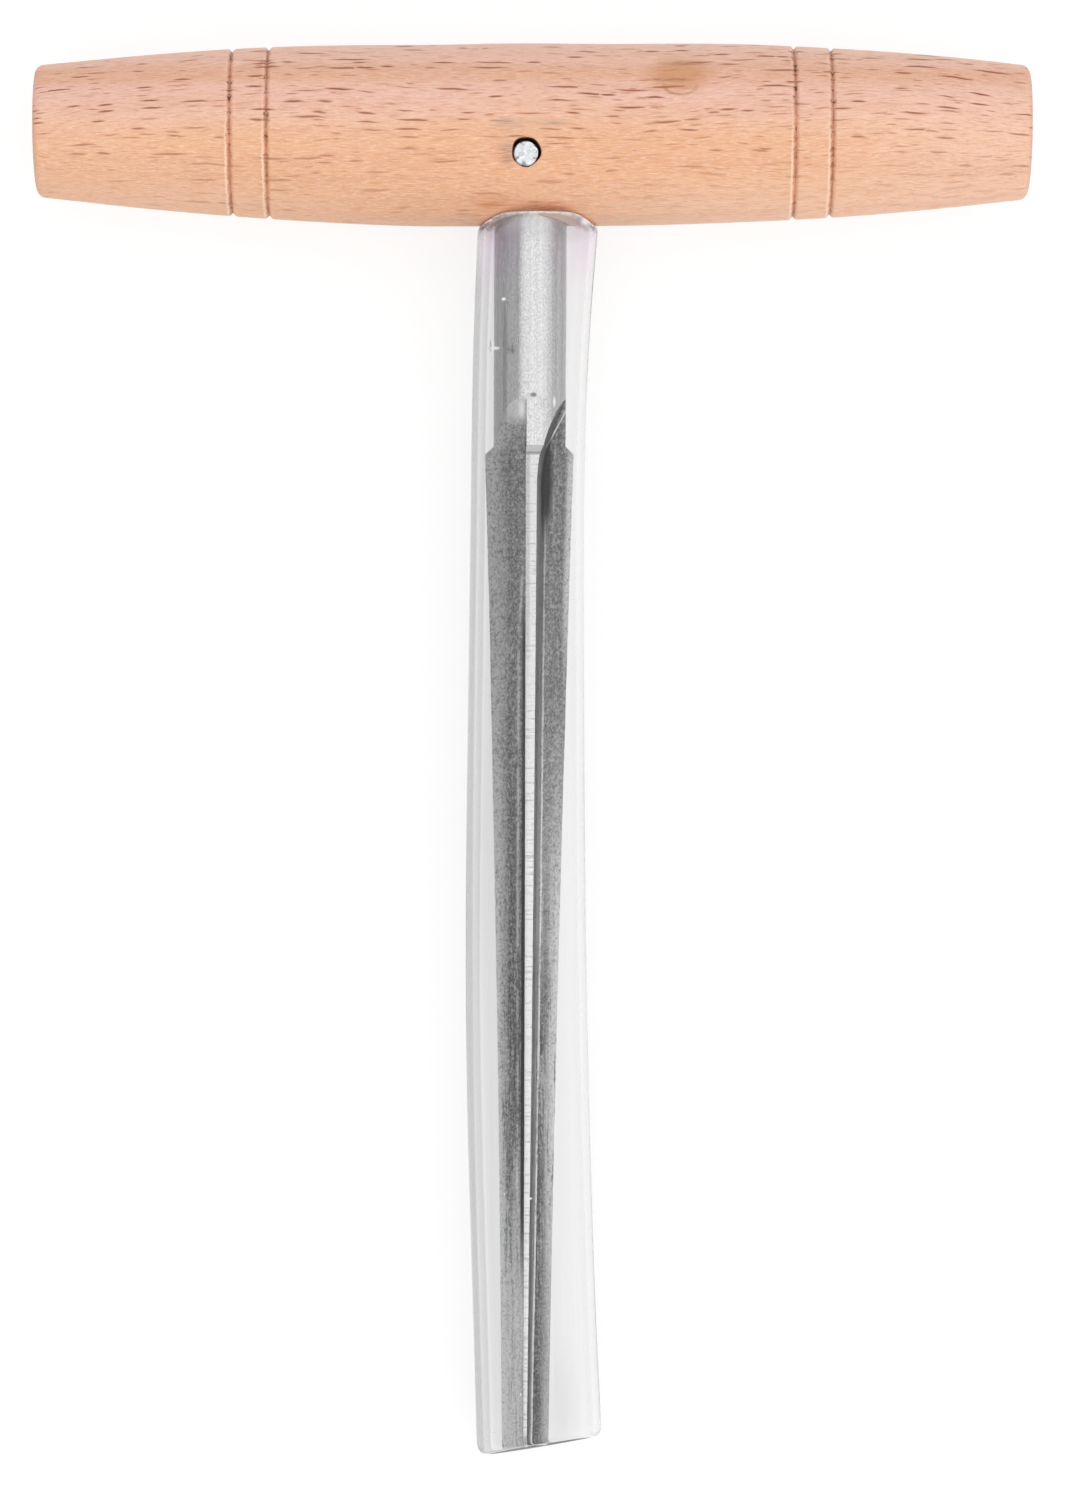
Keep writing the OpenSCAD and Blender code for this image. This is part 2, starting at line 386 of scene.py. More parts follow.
def between(tree, value, low, high, to_low=0.0, to_high=1.0):
    """Eases from to_low to to_high while value goes from low to high."""
    ends = {"Value": value, 1: low, 2: high, 3: to_low, 4: to_high}
    return node(tree, "MapRange", ends, interpolation_type="SMOOTHSTEP")


def noise(tree, where, stretch, detail=2.0, rough=0.5):
    """Cloudy noise from 0 to 1, with so many lumps to a millimetre along each axis."""
    scaled = vector(tree, "MULTIPLY", where, stretch)
    return node(tree, "TexNoise", {"Vector": scaled, "Scale": 1.0, "Detail": detail, "Roughness": rough})


def stored(tree, name):
    """A number that is stored on the piece under this name."""
    return node(tree, "Attribute", {}, out="Fac", attribute_name=name)


def millimetres(tree):
    """The surface point in the piece's own frame, in millimetres."""
    point = node(tree, "TexCoord", {}, out="Object")
    return vector(tree, "MULTIPLY", point, (1 / MM,) * 3)


def colour(red, green, blue):
    """A screen colour, 0 to 255, as the light it stands for."""
    part = np.array([red, green, blue]) / 255
    light = np.where(part <= 0.04045, part / 12.92, ((part + 0.055) / 1.055) ** 2.4)
    return (*light.tolist(), 1.0)


def new_material(name):
    """A material with only a Principled shader and its output."""
    material = bpy.data.materials.new(name)
    material.use_nodes = True
    return material, material.node_tree, material.node_tree.nodes["Principled BSDF"]


def fill(tree, shader, **inputs):
    """Fills the sockets of a shader; an underscore in a name stands for a space."""
    for key, value in inputs.items():
        socket = shader.inputs[key.replace("_", " ")]
        if isinstance(value, bpy.types.NodeSocket):
            tree.links.new(value, socket)
        else:
            socket.default_value = value


def flecks(tree, grain, cell, half, shown):
    """Short spindles along the grain: one in each cell of a stretched lattice, of random length.
    Gives 1 at a spindle's heart and 0 outside it, and shown is the share of cells that have one."""
    lattice = tree.nodes.new("ShaderNodeTexVoronoi")
    lattice.inputs["Scale"].default_value = 1.0
    scaled = vector(tree, "DIVIDE", grain, cell)
    tree.links.new(scaled, lattice.inputs["Vector"])
    chance = node(tree, "SeparateColor", {0: lattice.outputs["Color"]}).node
    length = between(tree, chance.outputs[0], 0.0, 1.0, 1.7, 0.6)
    stretch = node(tree, "CombineXYZ", {0: length, 1: 1.0, 2: 1.0})
    offset = vector(tree, "SUBTRACT", scaled, lattice.outputs["Position"])
    offset = vector(tree, "MULTIPLY", offset, tuple(c / h for c, h in zip(cell, half)))
    offset = vector(tree, "MULTIPLY", offset, stretch)
    far = vector(tree, "LENGTH", offset, out="Value")
    heart = between(tree, far, 0.35, 1.0, 1.0, 0.0)
    seen = between(tree, chance.outputs[1], 1 - shown, 1.15 - shown)
    return product(tree, heart, seen)


def spot(tree, point, centre, half, soft):
    """1 inside an ellipsoid about centre, easing to 0 outside it."""
    offset = vector(tree, "DIVIDE", vector(tree, "SUBTRACT", point, centre), half)
    far = vector(tree, "LENGTH", offset, out="Value")
    return between(tree, far, 1 - soft, 1 + soft, 1.0, 0.0)


# Screen colours of the wood, from its plain tones to its darkest marks, with its painted light and shade
PEACH = colour(238, 184, 146)
ROSE = colour(241, 194, 176)
HONEY = colour(234, 175, 133)
RIGHT_ROSE = colour(243, 199, 178)
# Painted shade: a darker band along the handle's upper side
SHADE_BAND_TAN = colour(228, 164, 124)
# Painted light: the paler lower side of the right arm
LIT_PEACH = colour(252, 204, 174)
RING_TAN = colour(222, 164, 130)
FIBRE_TAN = colour(212, 152, 116)
FIBRE_PALE = colour(250, 212, 187)
FLECK_RUST = colour(188, 118, 84)
FLECK_BROWN = colour(152, 82, 54)
KNOT_GOLD = colour(200, 136, 74)
KNOT_BROWN = colour(160, 106, 72)
# Painted highlight along one side of each groove
GROOVE_HIGHLIGHT_PALE = colour(253, 222, 194)
GROOVE_BROWN = colour(182, 130, 104)
NICK_BROWN = colour(104, 60, 42)
# Painted shade in the drilled holes
HOLE_SHADE_BROWN = colour(70, 48, 36)
END_TAN = colour(206, 152, 118)
GRAIN_GATHER = 8e-5
# Cell and half sizes of the ray flecks, and the share of cells that have one
SMALL_FLECKS = ((2.5, 0.65, 1.2), (1.05, 0.11, 0.5), 0.65)
LARGE_FLECKS = ((3.6, 0.9, 1.5), (1.75, 0.16, 0.75), 0.75)
# Place and half sizes of the yellower middle and of the knot, and place and scale of the ring below the knot
HONEY_PLACE, HONEY_HALF = (1.0, -4.0, 8.0), (26.0, 4.5, 12.0)
KNOT_PLACE, KNOT_HALF = (14.8, 5.3, 7.2), (2.9, 1.7, 4.0)
KNOT_RING_PLACE, KNOT_RING_SCALE = (14.9, 4.3, 0.0), (0.6, 0.95, 0.0)
# Height of the band of painted shade
SHADE_BAND_Y = 5.5
# Where the painted highlight lies beside each groove
HIGHLIGHT_PAST = -0.34
# Marks on the wood, and painted shade where the sleeve's top meets the handle: place, half sizes, softness,
# strength and colour
STAINS_AND_SHADE = [
    ((-2.3, -2.5, 8.8), (0.8, 1.2, 2.0), 0.9, 0.5, (150, 128, 124)),
    ((-2.2, 0.3, 9.2), (1.4, 0.5, 2.0), 1.0, 0.5, (146, 136, 132)),
    ((1.8, 0.4, 9.2), (1.5, 0.35, 2.0), 1.0, 0.45, (156, 152, 134)),
    ((14.0, 4.8, 7.9), (1.6, 0.2, 1.5), 0.7, 0.6, (158, 104, 66)),
    ((15.6, 6.6, 6.4), (2.2, 0.25, 1.5), 0.7, 0.6, (168, 112, 74)),
    # Painted shade: reddish dark on the handle's underside just above the sleeve's top
    ((1.4, -7.8, 4.9), (2.6, 0.6, 1.5), 0.8, 0.8, (200, 108, 72)),
    ((-3.6, -7.3, 5.6), (2.0, 0.8, 1.5), 0.9, 0.6, (216, 136, 88)),
    ((32.0, -8.0, 2.6), (0.6, 0.5, 1.2), 0.6, 0.6, (240, 150, 120)),
    ((40.6, -7.4, 1.5), (0.6, 0.4, 1.2), 0.6, 0.6, (240, 150, 120)),
]


def along_grain(tree, point):
    """The point in coordinates that run with the grain: its lines draw together with the square of the
    distance from the handle's middle, as the outline does, sway slowly and ripple."""
    x, y, z = axes_of(tree, point)
    gather = calc(tree, "MULTIPLY_ADD", product(tree, x, x), GRAIN_GATHER, 1.0)
    sway = calc(tree, "MULTIPLY_ADD", noise(tree, point, (0.035, 0.1, 0.1), 1.0), 3.0, -1.5)
    ripple = calc(tree, "MULTIPLY_ADD", noise(tree, point, (0.5, 0.4, 0.4), 1.0), 0.3, -0.15)
    grain_y = calc(tree, "ADD", calc(tree, "MULTIPLY_ADD", y, gather, sway), ripple)
    return node(tree, "CombineXYZ", {0: x, 1: grain_y, 2: product(tree, z, gather)})


def lit_low_right(tree, point):
    """1 on the lower side of the right arm, where the wood is painted paler as painted light, and has fewer
    flecks.
    """
    x, y, _ = axes_of(tree, point)
    return product(tree, between(tree, y, -3.5, -7.0), between(tree, x, -4.0, 20.0))


def plain_wood(tree, point, grain, fibre):
    """The wood without its flecks and marks: pinker above and to the right, yellower in the middle, with a
    band of painted shade along the upper side, painted light on the lower right, slow growth rings and fine
    fibres."""
    x, y, _ = axes_of(tree, point)
    cloud = noise(tree, grain, (0.04, 0.22, 0.22))
    above = calc(tree, "MULTIPLY_ADD", between(tree, y, -1.5, 2.5), 0.9, -0.55)
    rings = noise(tree, grain, (0.02, 0.75, 0.5), 3.0)
    pale = noise(tree, grain, (1.0, 8.5, 8.5), 2.0, 0.7)
    return coats(
        tree,
        PEACH,
        (calc(tree, "MULTIPLY_ADD", cloud, 1.2, above), ROSE),
        (product(tree, spot(tree, point, HONEY_PLACE, HONEY_HALF, 0.6), 0.6), HONEY),
        (between(tree, x, 24.0, 46.0, 0.0, 0.6), RIGHT_ROSE),
        # Painted shade along the upper side, then painted light on the lower right
        (between(tree, away(tree, y, SHADE_BAND_Y), 0.3, 1.4, 0.45, 0.0), SHADE_BAND_TAN),
        (product(tree, lit_low_right(tree, point), 0.6), LIT_PEACH),
        (between(tree, rings, 0.48, 0.68, 0.0, 0.28), RING_TAN),
        (between(tree, fibre, 0.46, 0.66, 0.0, 0.6), FIBRE_TAN),
        (between(tree, pale, 0.48, 0.68, 0.0, 0.6), FIBRE_PALE),
    )


def knot(tree, point, fibre):
    """Layers of the knot: a golden patch, and round its lower side a dark line that the fibres break."""
    _, y, z = axes_of(tree, point)
    spoke = vector(tree, "SUBTRACT", point, KNOT_RING_PLACE)
    spoke = vector(tree, "MULTIPLY", spoke, KNOT_RING_SCALE)
    from_line = away(tree, vector(tree, "LENGTH", spoke, out="Value"), 1.0)
    line = product(
        tree,
        between(tree, from_line, 0.02, 0.22, 0.8, 0.0),
        between(tree, y, 3.7, 4.7, 0.7, 0.0),
        between(tree, fibre, 0.35, 0.6, 0.3, 1.0),
        between(tree, z, 0.0, 2.0),
    )
    patch = spot(tree, point, KNOT_PLACE, KNOT_HALF, 0.6)
    return (product(tree, patch, 0.55), KNOT_GOLD), (line, KNOT_BROWN)


def stains_and_shade(tree, point, fibre):
    """Layers of the marks on the wood and of the painted shade above the sleeve's top, which the fibres
    break.
    """
    broken = between(tree, fibre, 0.4, 0.6, 0.35, 1.0)
    return [
        (product(tree, spot(tree, point, place, half, soft), share, broken), colour(*tint))
        for place, half, soft, share, tint in STAINS_AND_SHADE
    ]


def groove_marks(tree, point, grain):
    """Layers along the grooves: a painted highlight on the left of each, stronger on the lower side, a
    patchy line in it, and dark nicks where the wood tore."""
    x, y, _ = axes_of(tree, point)
    patchy = between(tree, noise(tree, point, (0.4, 0.8, 0.8), 3.0, 0.7), 0.35, 0.65, 0.3, 0.8)
    lit_below = between(tree, y, -4.0, 3.0, 0.65, 0.1)
    wobble = calc(tree, "MULTIPLY_ADD", noise(tree, point, (0.9, 1.3, 1.3), 3.0, 0.7), 0.4, -0.2)
    torn = between(tree, noise(tree, grain, (0.3, 1.5, 1.5), 2.0, 0.6), 0.54, 0.64)
    torn = product(tree, torn, between(tree, y, -6.0, 2.0, 0.35, 1.0))
    layers = []
    for place in GROOVE_PLACES:
        past = calc(tree, "SUBTRACT", calc(tree, "ABSOLUTE", x), place)
        past = calc(tree, "MULTIPLY_ADD", past, calc(tree, "SIGN", x), wobble)
        from_middle = calc(tree, "ABSOLUTE", past)
        # Painted highlight beside the groove, stronger on the lower side
        groove_highlight = between(tree, away(tree, past, HIGHLIGHT_PAST), 0.04, 0.17, 1.0, 0.0)
        line = between(tree, from_middle, 0.06, 0.24, 0.9, 0.0)
        nick = between(tree, from_middle, 0.12, 0.44, 0.85, 0.0)
        layers += [
            (product(tree, groove_highlight, lit_below), GROOVE_HIGHLIGHT_PALE),
            (product(tree, line, patchy), GROOVE_BROWN),
            (product(tree, nick, torn), NICK_BROWN),
        ]
    return layers


def beech():
    """Steamed beech: peach wood, fine fibres, and brown ray flecks that run with the turned outline."""
    material, tree, shader = new_material("beech")
    point = millimetres(tree)
    grain = along_grain(tree, point)
    fibre = noise(tree, grain, (0.6, 8.5, 8.5), 3.0, 0.65)
    small = flecks(tree, grain, *SMALL_FLECKS)
    large = flecks(tree, grain, *LARGE_FLECKS)
    more = product(
        tree,
        between(tree, axes_of(tree, grain)[1], -7.0, 3.0, 0.4, 1.0),
        calc(tree, "MULTIPLY_ADD", lit_low_right(tree, point), -0.6, 1.0),
        between(tree, axes_of(tree, point)[2], 0.5, 4.0, 0.45, 1.0),
    )
    wood = coats(
        tree,
        plain_wood(tree, point, grain, fibre),
        (product(tree, small, more, 0.75), FLECK_RUST),
        (product(tree, large, more, 0.9), FLECK_BROWN),
        *knot(tree, point, fibre),
        # Marks, and painted shade above the sleeve's top
        *stains_and_shade(tree, point, fibre),
        *groove_marks(tree, point, grain),
        # Painted shade inside the drilled holes
        (between(tree, stored(tree, "inside"), 0.0, 1.0, 0.0, 0.9), HOLE_SHADE_BROWN),
        (product(tree, stored(tree, "end_grain"), 0.35), END_TAN),
    )
    height = calc(tree, "MULTIPLY_ADD", large, -1.0, product(tree, fibre, 0.6))
    bump = node(tree, "Bump", {"Strength": 0.25, "Distance": 0.05 * MM, "Height": height})
    rough = between(tree, fibre, 0.3, 0.8, 0.42, 0.55)
    fill(tree, shader, Base_Color=wood, Roughness=rough, Normal=bump, Specular_IOR_Level=0.35)
    return material


handle.data.materials.append(beech())
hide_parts("handle")
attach(handle, "tool")


# Reamer
# A ground tool-steel cutter: a plain tang and shank, a 45 degree shoulder, and a slow taper to the tip.
# A wheel has cut four straight flutes into it, each with a radial cutting face, and ran out in the shank.
# It sits a fifth of a degree off square in the handle, and its taper is a little hollow.
TIP_MORE = 0.4
TIP = TIP_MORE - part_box("reamer")[0][1] / MM
TANG_END = -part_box("reamer")[1][1] / MM
SHOULDER = 32.3
CUTTER_R = 4.5
TAPER = 1 / 46
HOLLOW = 0.25
TANG_CHAMFER = 0.6
TIP_CHAMFER = 0.25
FLUTES = 4
PITCH = 2 * math.pi / FLUTES
LAND_ANGLE = math.radians(13.8)
LAND_LOSS = math.radians(5)
EDGE_TURN = math.radians(94.5)
ROOT_SHARE = 0.335
ROOT_LOSS = 0.14
ROOT_LOSS_FROM = 0.4
ROOT_FILLET = 0.32
FILLET_SHARE = 0.6
WHEEL_R = 20
WHEEL_REACH = 0.9 * WHEEL_R
RUNOUT_START = SHOULDER + 3.5
RUNOUT_END = 26
STEPS = {"land": 14, "face": 10, "root": 9, "floor": 12}
LEAN = math.tan(math.radians(0.22))
REAMER_SHARP = math.radians(13)


def taper_share(z):
    """How far z lies along the taper: 0 at the shoulder and 1 at the tip."""
    return np.clip((z - SHOULDER) / (TIP - SHOULDER), 0, 1)


def straight_taper(z):
    """Radius of the taper at z if it were not hollow."""
    return CUTTER_R - (z - SHOULDER) * TAPER


def blank_radius(z):
    """Radius of the turned blank at a distance z from the handle's axis: shank, shoulder, taper, tip."""
    share = taper_share(z)
    taper = straight_taper(z) - HOLLOW * 4 * share * (1 - share)
    shank = TANG_R + np.maximum(0, z - SHOULDER + CUTTER_R - TANG_R)
    shank = shank - np.maximum(0, TANG_END + TANG_CHAMFER - z)
    return np.minimum(np.minimum(shank, taper), taper - np.maximum(0, z - TIP + TIP_CHAMFER))


def root_share(z):
    """The root's distance from the axis as a share of the radius: steady, then less and less to the tip."""
    late = np.maximum(taper_share(z) - ROOT_LOSS_FROM, 0) / (1 - ROOT_LOSS_FROM)
    return ROOT_SHARE - ROOT_LOSS * late**2


def root_radius(z):
    """Distance from the axis to the sharp root of a flute: a share of the radius, and where the wheel
    leaves the work, higher by the rise of a circle."""
    straight = root_share(z) * straight_taper(np.maximum(z, RUNOUT_START))
    past = np.clip(RUNOUT_START - z, 0, WHEEL_REACH)
    return straight + WHEEL_R - np.sqrt(WHEEL_R**2 - past**2)


def floor_lean(z):
    """Tilt of a flute's floor that takes it from the root to the back of the next land. The land keeps one
    angle at first, and narrows with the square of the way to the tip."""
    flute = PITCH - LAND_ANGLE + LAND_LOSS * taper_share(z) ** 2
    return np.arctan((root_share(z) - np.cos(flute)) / np.sin(flute))


def tooth_section(z):
    """One land and the flute after it, at each distance z, as plane points turned so that the cutting face
    lies on the first axis: arc of the land, face inwards, round root, and floor out to the next land."""
    r = blank_radius(z)[:, None]
    root = root_radius(z)[:, None]
    lean = floor_lean(z)[:, None]
    open_half = np.arccos(np.clip(root * np.cos(lean) / r, -1, 1))
    back = np.where(open_half <= 0, lean, lean + open_half)
    front = np.where(open_half <= 0, lean, np.maximum(lean - open_half, 0))

    half_open = math.pi / 4 + lean / 2
    fillet = np.where(front > 0, 0, np.clip((r - root) * FILLET_SHARE, 0, ROOT_FILLET))
    low = root + fillet / np.tan(half_open)
    deep = np.minimum(low, r)

    arc = np.linspace(0, 1, STEPS["land"])
    turn = back - PITCH + arc * (front - back + PITCH)
    land = np.stack([r * np.cos(turn), r * np.sin(turn)], axis=-1)

    edge = np.stack([r * np.cos(front), r * np.sin(front)], axis=-1)
    foot = np.where(front > 0, r * np.cos(front), deep)
    foot = np.stack([foot, np.where(front > 0, r * np.sin(front), 0)], axis=-1)
    share = np.linspace(0, 1, STEPS["face"] + 1)[1:, None]
    face = edge * (1 - share) + foot * share

    sweep = np.linspace(0, 1, STEPS["root"] + 1)[1:] * (math.pi - 2 * half_open)
    curve = np.stack([-np.sin(sweep), 1 - np.cos(sweep)], axis=-1)
    rounded = foot + fillet[..., None] * curve

    last = np.stack([r * np.cos(back), r * np.sin(back)], axis=-1)
    share = np.linspace(0, 1, STEPS["floor"] + 1)[1:-1, None]
    floor = rounded[:, -1:] * (1 - share) + last * share
    return np.concatenate([land, face, rounded, floor], axis=1)


# Stations along the cutter: tang, shank, run-out, shoulder, end of the wheel's arc, taper and tip
stations = np.concatenate(
    [
        np.linspace(TANG_END, TANG_END + TANG_CHAMFER, 3),
        np.linspace(TANG_END + TANG_CHAMFER, RUNOUT_END, 24)[1:],
        np.arange(RUNOUT_END + 0.2, SHOULDER - 0.9, 0.2),
        np.linspace(SHOULDER - CUTTER_R + TANG_R, SHOULDER, 6),
        np.arange(SHOULDER + 0.2, RUNOUT_START + 1, 0.25),
        np.linspace(RUNOUT_START + 1.5, TIP - TIP_CHAMFER, 80),
        np.linspace(TIP - TIP_CHAMFER, TIP, 5)[1:],
    ]
)
tooth_x, tooth_z = np.moveaxis(tooth_section(stations), -1, 0)
tooth_turns = EDGE_TURN + np.arange(FLUTES) * PITCH
section_x = np.hstack([tooth_x * math.cos(turn) - tooth_z * math.sin(turn) for turn in tooth_turns])
section_z = np.hstack([tooth_x * math.sin(turn) + tooth_z * math.cos(turn) for turn in tooth_turns])
section_y = -np.broadcast_to(stations[:, None], section_x.shape)
reamer_points = np.stack([section_x + LEAN * section_y, section_y, section_z], axis=-1).reshape(-1, 3)
numbers = np.arange(len(reamer_points)).reshape(section_x.shape)
poles = np.array([[-LEAN * TANG_END, -TANG_END, 0], [-LEAN * TIP, -TIP, 0]])
reamer = make_piece(
    "reamer_steel",
    np.concatenate([reamer_points, poles]),
    [
        ring_faces(numbers),
        fan_faces(numbers[0], len(reamer_points)),
        fan_faces(numbers[-1], len(reamer_points) + 1),
    ],
    sharp=REAMER_SHARP,
)


def face_vectors(piece, name):
    """The middles or the normals of a piece's faces, as Blender gives them."""
    flat = np.empty(len(piece.data.polygons) * 3, np.float32)
    piece.data.polygons.foreach_get(name, flat)
    return flat.reshape(-1, 3).astype(float)


def mark_faces(piece, name, chosen):
    """Stores 1 on the chosen faces of a piece and 0 on the rest, for its material to read."""
    marks = piece.data.attributes.new(name, "FLOAT", "FACE")
    marks.data.foreach_set("value", chosen.astype(np.float32))


def blank_depth(point):
    """How far a point lies below the turned blank, square to the cutter's own leaning axis."""
    return blank_radius(-point[:, 1]) - np.hypot(point[:, 0] - LEAN * point[:, 1], point[:, 2])


# In the flutes, the angle from a tooth's cutting face tells the face, the round root and the floor apart
EDGE_SLACK = 0.02
FLUTE_LEAST = 0.03
FLUTE_TOP = 20
FACE_TURN = math.radians(84)
LEAST_DEEP = 0.1
middle = face_vectors(reamer, "center") / MM
outward = face_vectors(reamer, "normal")
place_turn = np.arctan2(middle[:, 2], middle[:, 0] - LEAN * middle[:, 1]) - EDGE_TURN + EDGE_SLACK
flute_number = np.floor(place_turn / PITCH)
normal_turn = np.arctan2(outward[:, 2], outward[:, 0]) - EDGE_TURN - PITCH * flute_number
normal_turn = (normal_turn + math.pi) % (2 * math.pi) - math.pi
in_cut = (-middle[:, 1] > FLUTE_TOP) & (-middle[:, 1] < TIP - TIP_CHAMFER)
in_flute = in_cut & (blank_depth(middle) > FLUTE_LEAST)
on_face = in_flute & (normal_turn > FACE_TURN)
on_floor = in_flute & ~on_face
mark_faces(reamer, "flute", in_flute)
mark_faces(reamer, "cutting_face", on_face)
mark_faces(reamer, "floor", on_floor & (flute_number % 2 == 0))
mark_faces(reamer, "side_floor", on_floor & (flute_number % 2 == 1))
reamer_at = places(reamer)
down = -reamer_at[:, 1]
deepest = blank_radius(down) - root_share(down) * straight_taper(down)
keep_values(reamer, "depth", np.clip(blank_depth(reamer_at) / np.maximum(deepest, LEAST_DEEP), 0, 1))
spoke = reamer_at[:, 0] + LEAN * down
past_face = (np.arctan2(reamer_at[:, 2], spoke) - EDGE_TURN + EDGE_SLACK) % PITCH - EDGE_SLACK
keep_values(reamer, "from_face", np.hypot(spoke, reamer_at[:, 2]) * np.sin(past_face))


def grey(level, cold=0):
    """A grey on the screen's scale, with so much more blue."""
    return colour(level, level, level + cold)


MOTTLE_DARK = grey(66, 2)
MOTTLE_PALE = grey(206)
# Middle of the shoulder's cone, and places on the steel: worn streak, dark line, nick and glint
CONE_Y = 0.4 - SHOULDER
WORN_X = -0.3
DARK_LINE_X = -2.55
NICK_PLACE, NICK_HALF = (0.25, -26.4, 3.65), (0.3, 0.22, 1.0)
GLINT_PLACE, GLINT_HALF = (-0.9, -27.9, 3.4), (0.28, 0.9, 0.8)
# The sliver of light by the shoulder lies along a slanted line: its slope and where it crosses the axis
SLIVER_SLOPE, SLIVER_X = 0.54, 18.6


def turned_steel(tree, point, speckle, cone_highlight):
    """The turned skin: a satin shank with drawn streaks and painted shade on its sides, lands with faint
    cross marks and a worn streak, a painted highlight on the shoulder's cone with a painted shade line at
    its rim, a dark line and a nick."""
    across, along, _ = axes_of(tree, point)
    streak = noise(tree, point, (2.5, 0.015, 2.5), 3.0, 0.6)
    drawn = calc(tree, "MULTIPLY_ADD", speckle, 0.8, product(tree, streak, 0.4))
    # Painted shade on the shank's sides
    shaded_sides = between(tree, calc(tree, "ABSOLUTE", across), 2.0, 3.3, 0.0, 0.6)
    cross = noise(tree, point, (0.5, 4.0, 0.5), 2.0, 0.6)
    worn = between(tree, away(tree, across, WORN_X), 0.1, 0.3, 0.5, 0.0)
    land = coats(
        tree,
        grey(204),
        (between(tree, cross, 0.5, 0.7, 0.0, 0.7), grey(168)),
        (product(tree, worn, between(tree, along, -56.0, -48.0)), grey(166)),
    )
    # Painted shade: a dark line at the rim of the shoulder's cone
    rim = between(tree, away(tree, along, -SHOULDER), 0.08, 0.22, 0.55, 0.0)
    # A dark line down the shank's left side
    dark_line = between(tree, away(tree, across, DARK_LINE_X), 0.08, 0.3, 0.4, 0.0)
    return coats(
        tree,
        grey(196, 1),
        (between(tree, drawn, 0.4, 0.8), grey(230)),
        (shaded_sides, grey(146, 3)),
        (between(tree, along, -SHOULDER - 0.1, -SHOULDER, 1.0, 0.0), land),
        # Painted highlight on the shoulder's cone
        (cone_highlight, grey(250, 2)),
        (rim, grey(112, 2)),
        (product(tree, dark_line, between(tree, along, -14.0, -20.0)), grey(120, 2)),
        (spot(tree, point, NICK_PLACE, NICK_HALF, 0.5), grey(132)),
    )


def by_place(tree, along, high, middle, low):
    """A grey for the flutes near the shoulder, at mid length and near the tip, eased together."""
    near_tip = between(tree, along, -96.0, -120.0)
    near_shoulder = between(tree, along, -84.0, -50.0)
    return coats(tree, grey(middle), (near_tip, grey(low)), (near_shoulder, grey(high)))


def flute_tone(tree, point, marks):
    """Greys of the flutes, painted as shade and light by depth: each side eases from its edge to its root,
    and the floors at the tool's sides are painted dark walls with a painted highlight along the root."""
    along = marks["along"]
    depth = marks["depth"]
    face = marks["cutting_face"]
    # Painted shade and light: the greys change with depth from edge to root
    edge_tone = blend(tree, face, by_place(tree, along, 192, 218, 214), by_place(tree, along, 124, 214, 176))
    root_tone = blend(tree, face, by_place(tree, along, 118, 92, 206), by_place(tree, along, 128, 150, 96))
    cloud = noise(tree, point, (0.5, 0.05, 0.5), 3.0, 0.6)
    later = calc(tree, "ADD", depth, between(tree, along, -80.0, -48.0, 0.0, -0.16))
    sunk = calc(tree, "ADD", calc(tree, "MULTIPLY_ADD", cloud, 0.5, -0.05), later)
    near_shoulder = product(
        tree,
        between(tree, along, -56.0, -42.0),
        between(tree, along, -31.0, -34.0),
        between(tree, depth, 0.4, 0.9, 1.0, 0.35),
    )
    # Painted highlight along the root
    ridge_highlight = between(tree, depth, 0.5, 0.97, 0.0, 0.95)
    ridge_highlight = product(tree, ridge_highlight, between(tree, along, -42.0, -68.0, 0.4, 1.0))
    # Painted shade: dark side walls, lighter near the shoulder, with the painted highlight along the root
    wall = coats(tree, grey(98, 1), (near_shoulder, grey(172, 1)), (ridge_highlight, grey(222)))
    return coats(
        tree,
        edge_tone,
        (between(tree, sunk, 0.2, 0.9), root_tone),
        (product(tree, marks["side_floor"], 0.95), wall),
    )


def flute_lights(tree, point, marks, right_flute):
    """Painted light and shade that shape the flutes: painted highlights on the cutting edges near the
    shoulder, painted shade in a trough on the lower faces, a broken painted light line along the floor, and
    painted shade where the right flute meets the shoulder."""
    along = marks["along"]
    depth = marks["depth"]
    # Painted highlight on the cutting edges
    edge = product(
        tree,
        marks["cutting_face"],
        between(tree, depth, 0.1, 0.3, 0.75, 0.0),
        between(tree, along, -58.0, -46.0),
    )
    # Painted shade in the lower faces
    trough_shade = product(
        tree,
        marks["cutting_face"],
        between(tree, along, -78.0, -94.0, 0.0, 0.95),
        between(tree, along, -131.0, -124.0, 0.35, 1.0),
        between(tree, depth, 0.35, 0.8),
    )
    # Painted light line along the floor
    from_line = away(tree, marks["from_face"], between(tree, along, -42.0, -53.0, 0.5, 0.9))
    line = product(
        tree,
        marks["floor"],
        between(tree, from_line, 0.05, 0.2, 0.65, 0.0),
        between(tree, along, -39.0, -44.0),
        between(tree, noise(tree, point, (0.6, 0.3, 0.6), 2.0, 0.6), 0.4, 0.6, 0.2, 1.0),
    )
    shade = product(tree, right_flute, between(tree, along, -33.5, -31.0, 0.0, 0.75))
    return (edge, grey(226)), (trough_shade, grey(70, 2)), (line, grey(206)), (shade, grey(90, 2))


